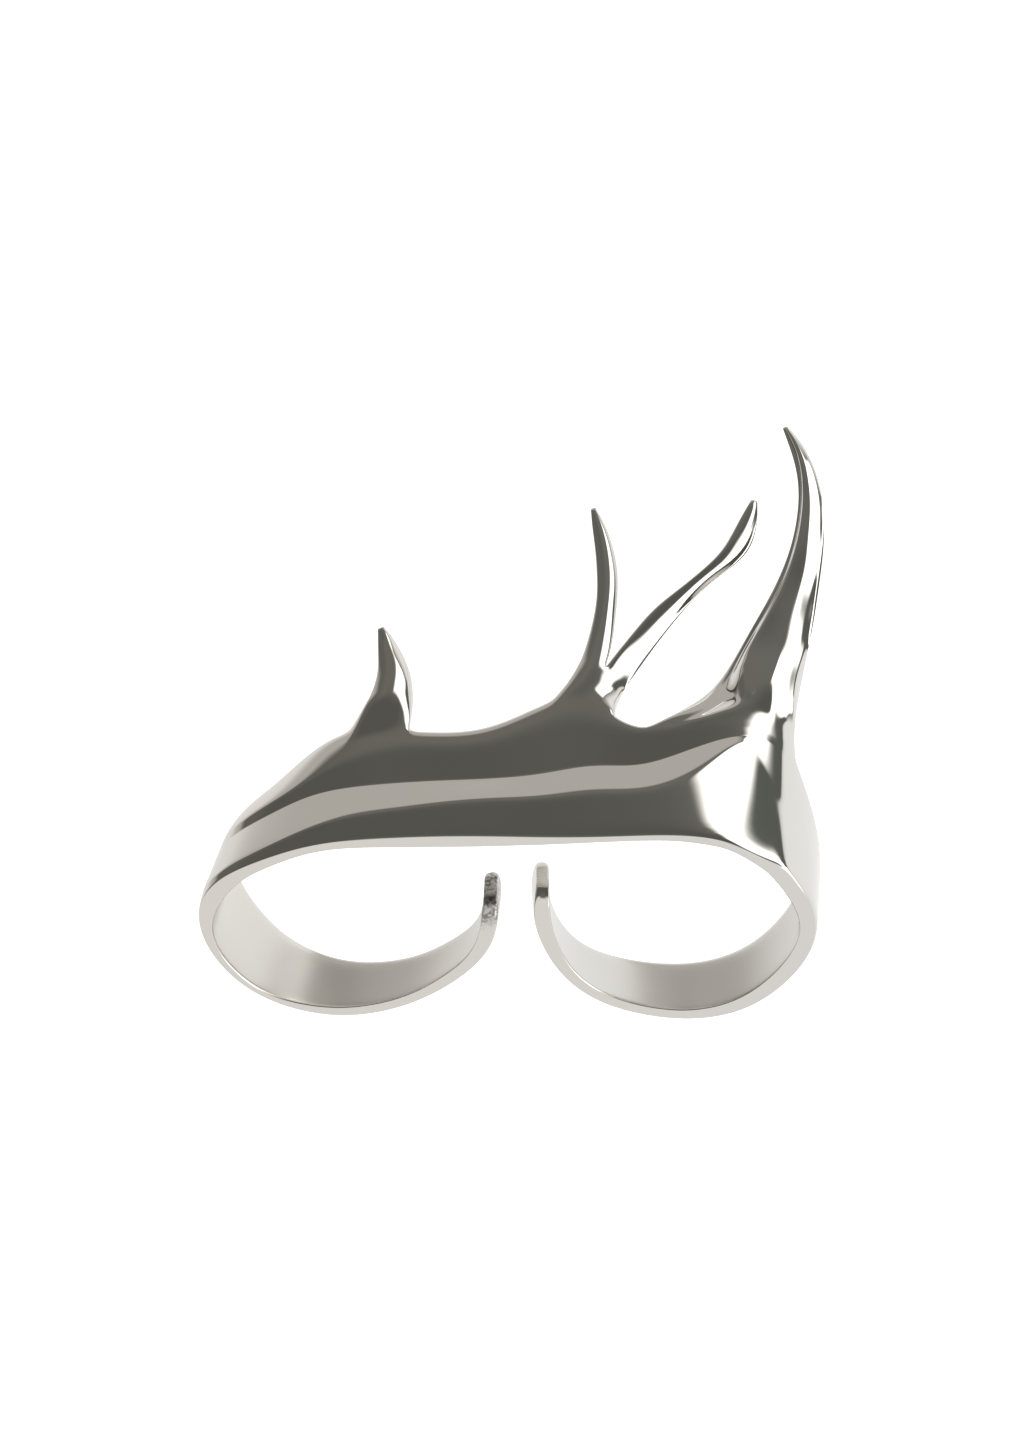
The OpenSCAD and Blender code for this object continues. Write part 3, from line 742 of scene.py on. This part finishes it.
def ring_on_table(sizes):
    """The ring's shape, its sections' places, and its points as it lies on a table, in metres."""
    shape, places = ring_shape(sizes)
    turn = np.array(rest_turn(sizes.rest_lean, sizes.rest_roll))
    laid = np.array(shape.points) @ turn.T * sizes.width / DRAWN_WIDTH
    middle = (laid.min(0) + laid.max(0)) / 2
    middle[2] = laid[:, 2].min()
    return shape, places, laid - middle


def photo_axes(sizes):
    """The photograph's right, up and towards the camera, which looks half way between the
    finger axis and straight onto the plate."""
    turn = rest_turn(sizes.rest_lean, sizes.rest_roll)
    half = math.sqrt(0.5)
    return [turn @ Vector(v) for v in ((1, 0, 0), (0, half, half), (0, -half, half))]


class DOUBLERING_OT_ring(bpy.types.Operator):
    """Make the silver ring with its two loops, plate and four flames"""

    bl_idname = "doublering.ring"
    bl_label = "Ring"

    def execute(self, context):
        sizes = context.scene.double_ring
        shape, places, points = ring_on_table(sizes)
        mesh = bpy.data.meshes.new("double_ring_silver")
        mesh.from_pydata([tuple(p) for p in points], [], shape.faces)
        mesh.update()
        if mesh.validate(verbose=False):
            raise RuntimeError("the ring's mesh has faults")
        mesh.flip_normals()  # the part's source lists each face's corners clockwise
        mesh.shade_smooth()
        self.mark(mesh, places)
        ring = bpy.data.objects.new("double_ring_silver", mesh)
        context.scene.collection.objects.link(ring)
        smooth = ring.modifiers.new("smooth", "SUBSURF")
        smooth.levels = smooth.render_levels = sizes.smoothing
        mesh.materials.append(polished_silver(sizes))
        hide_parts("double_ring")
        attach(ring, BODY)
        return {"FINISHED"}

    def mark(self, mesh, places):
        """Marks the sharp lines, the inner faces of the loops and the rough cut end."""
        sharp = {}
        first, last = CREASE_ROWS
        for i, t in enumerate(places[:-1]):
            if first < t < last:
                strength = CREASE * min(1, (t - first) / 3) * min(1, (last - t) / 2)
                sharp[frozenset((at(i, VALLEY), at(i + 1, VALLEY)))] = strength
        corner = section_at(CORNER_ROW)
        for j in range(OUT):
            sharp[frozenset((at(corner, j), at(corner, j + 1)))] = CORNER
        crease = mesh.attributes.new("crease_edge", "FLOAT", "EDGE")
        for edge in mesh.edges:
            crease.data[edge.index].value = sharp.get(frozenset(edge.vertices), 0)
        inside = np.zeros(len(mesh.vertices), np.float32)
        cut_end = np.zeros(len(mesh.vertices), np.float32)
        for i, t in enumerate(places):
            for j in range(NP):
                if IN <= j < NP - 2:
                    inside[at(i, j)] = 1
                if t < CUT_ROWS:
                    cut_end[at(i, j)] = min(1, 2 * (CUT_ROWS - t))
        for name, values in (("inside", inside), ("cut_end", cut_end)):
            mesh.attributes.new(name, "FLOAT", "POINT").data.foreach_set("value", values)


class DOUBLERING_OT_stage(bpy.types.Operator):
    """Make the pale floor, the soft light of the room and the camera"""

    bl_idname = "doublering.stage"
    bl_label = "Stage"

    def execute(self, context):
        sizes, stage = context.scene.double_ring, context.scene.double_ring_stage
        self.floor(context, stage)
        self.room(context, sizes, stage)
        self.camera(context, sizes, stage)
        context.scene.view_settings.view_transform = "Standard"
        return {"FINISHED"}

    def floor(self, context, stage):
        mesh = bpy.data.meshes.new("floor")
        far = 6.0
        corners = [(-far, -far, 0), (far, -far, 0), (far, far, 0), (-far, far, 0)]
        mesh.from_pydata(corners, [], [(0, 1, 2, 3)])
        floor = bpy.data.objects.new("floor", mesh)
        context.scene.collection.objects.link(floor)
        material, net = new_net("pale_floor")
        surface = net.node("ShaderNodeBsdfPrincipled", {}, {
            "Base Color": (0.8, 0.8, 0.8, 1),
            "Roughness": 0.9,
            "Specular IOR Level": 0.0,
            "Emission Color": (1, 1, 1, 1),
            "Emission Strength": stage.floor_glow,
        })
        net.node("ShaderNodeOutputMaterial", {}, {"Surface": surface})
        mesh.materials.append(material)
        floor.visible_glossy = False

    def room(self, context, sizes, stage):
        """Light of the room by direction, all in degrees of the photograph's axes: pale low down,
        dark overhead, the front pale up to a high rise, and a long softbox at the right that
        has a dark gap before its lower edge."""
        world = bpy.data.worlds.new("room")
        world.use_nodes = True
        context.scene.world = world
        net = Net(world.node_tree)
        direction = net.node("ShaderNodeTexCoord", out="Generated")
        right, back, up = (net.dot(direction, axis) for axis in photo_axes(sizes))
        level = (right * right + back * back).math("SQRT") + 0.0001
        rise = up.math("ARCSINE") * math.degrees(1)

        def near(degrees, outer, inner):
            """1 within inner degrees of a compass direction, 0 beyond outer; 90 is the back."""
            turn = math.radians(degrees)
            share = (right * math.cos(turn) + back * math.sin(turn)) / level
            return share.step(math.cos(math.radians(outer)), math.cos(math.radians(inner)))

        def below(low, high):
            return 1 - rise.step(low, high)

        def colour(value):
            return (*value, 1)

        behind = near(80, 50, 20)
        lift = behind * 14
        faint = below(15 + lift, 42 + lift) * (0.3 + behind * 0.3)
        high = net.blend(faint, colour(stage.ceiling), colour(stage.upper_wall))
        high = net.blend(rise.step(70, 90), high, colour([1.35 * c for c in stage.ceiling]))
        low = net.blend(rise.step(-45, -18), colour(stage.ground), colour(stage.lower_wall))
        edge = 3 - near(180, 68, 18) * 17
        light = net.blend(rise.step(edge - 5, edge + 11), low, high)
        light = net.blend(near(-90, 84, 64) * below(70, 85), light, colour(stage.front_wall))
        lamp_side = near(6, 64, 56)
        light = net.blend(lamp_side * below(-8, 8), light, colour(stage.right_ground))
        lamp = lamp_side * rise.step(8, 11) * below(31, 39)
        light = net.blend(lamp, light, colour(stage.softbox))
        gap = near(22, 18, 11) * rise.step(-1, 3) * below(12, 19)
        light = net.blend(gap, light, colour(stage.gap))
        surface = net.node("ShaderNodeBackground", {}, {"Color": light})
        net.node("ShaderNodeOutputWorld", {}, {"Surface": surface})

    def camera(self, context, sizes, stage):
        """Long lens that looks at the ring as the photograph does."""
        points = ring_on_table(sizes)[2]
        axes = photo_axes(sizes)
        seen = points @ np.array(axes).T
        place = (seen.min(0) + seen.max(0)) / 2
        place[1] -= stage.aim_drop
        lens = bpy.data.cameras.new("camera")
        lens.lens = stage.lens
        lens.sensor_fit = "HORIZONTAL"
        lens.sensor_width = 36
        distance = stage.picture_width * lens.lens / lens.sensor_width
        lens.clip_start = distance * 0.1
        lens.clip_end = distance * 10 + 20
        place[2] += distance
        camera = bpy.data.objects.new("camera", lens)
        context.scene.collection.objects.link(camera)
        turn = Matrix(axes).transposed()
        camera.matrix_world = Matrix.Translation(turn @ Vector(place)) @ turn.to_4x4()
        context.scene.camera = camera


class DOUBLERING_PT_panel(bpy.types.Panel):
    """Lists the pieces that can be made"""

    bl_label = "Double ring"
    bl_idname = "DOUBLERING_PT_panel"
    bl_space_type = "VIEW_3D"
    bl_region_type = "UI"
    bl_category = "Double ring"

    def draw(self, context):
        for group in (context.scene.double_ring, context.scene.double_ring_stage):
            for name in group.__annotations__:
                self.layout.prop(group, name)
        for operator in OPERATORS:
            self.layout.operator(operator.bl_idname)


OPERATORS = (DOUBLERING_OT_ring, DOUBLERING_OT_stage)
CLASSES = (DoubleRingSizes, DoubleRingStage, *OPERATORS, DOUBLERING_PT_panel)


def register():
    for cls in CLASSES:
        bpy.utils.register_class(cls)
    bpy.types.Scene.double_ring = bpy.props.PointerProperty(type=DoubleRingSizes)
    bpy.types.Scene.double_ring_stage = bpy.props.PointerProperty(type=DoubleRingStage)


def unregister():
    del bpy.types.Scene.double_ring_stage
    del bpy.types.Scene.double_ring
    for cls in reversed(CLASSES):
        bpy.utils.unregister_class(cls)


def main():
    register()
    bpy.ops.doublering.ring()
    bpy.ops.doublering.stage()


if __name__ == "__main__":
    main()
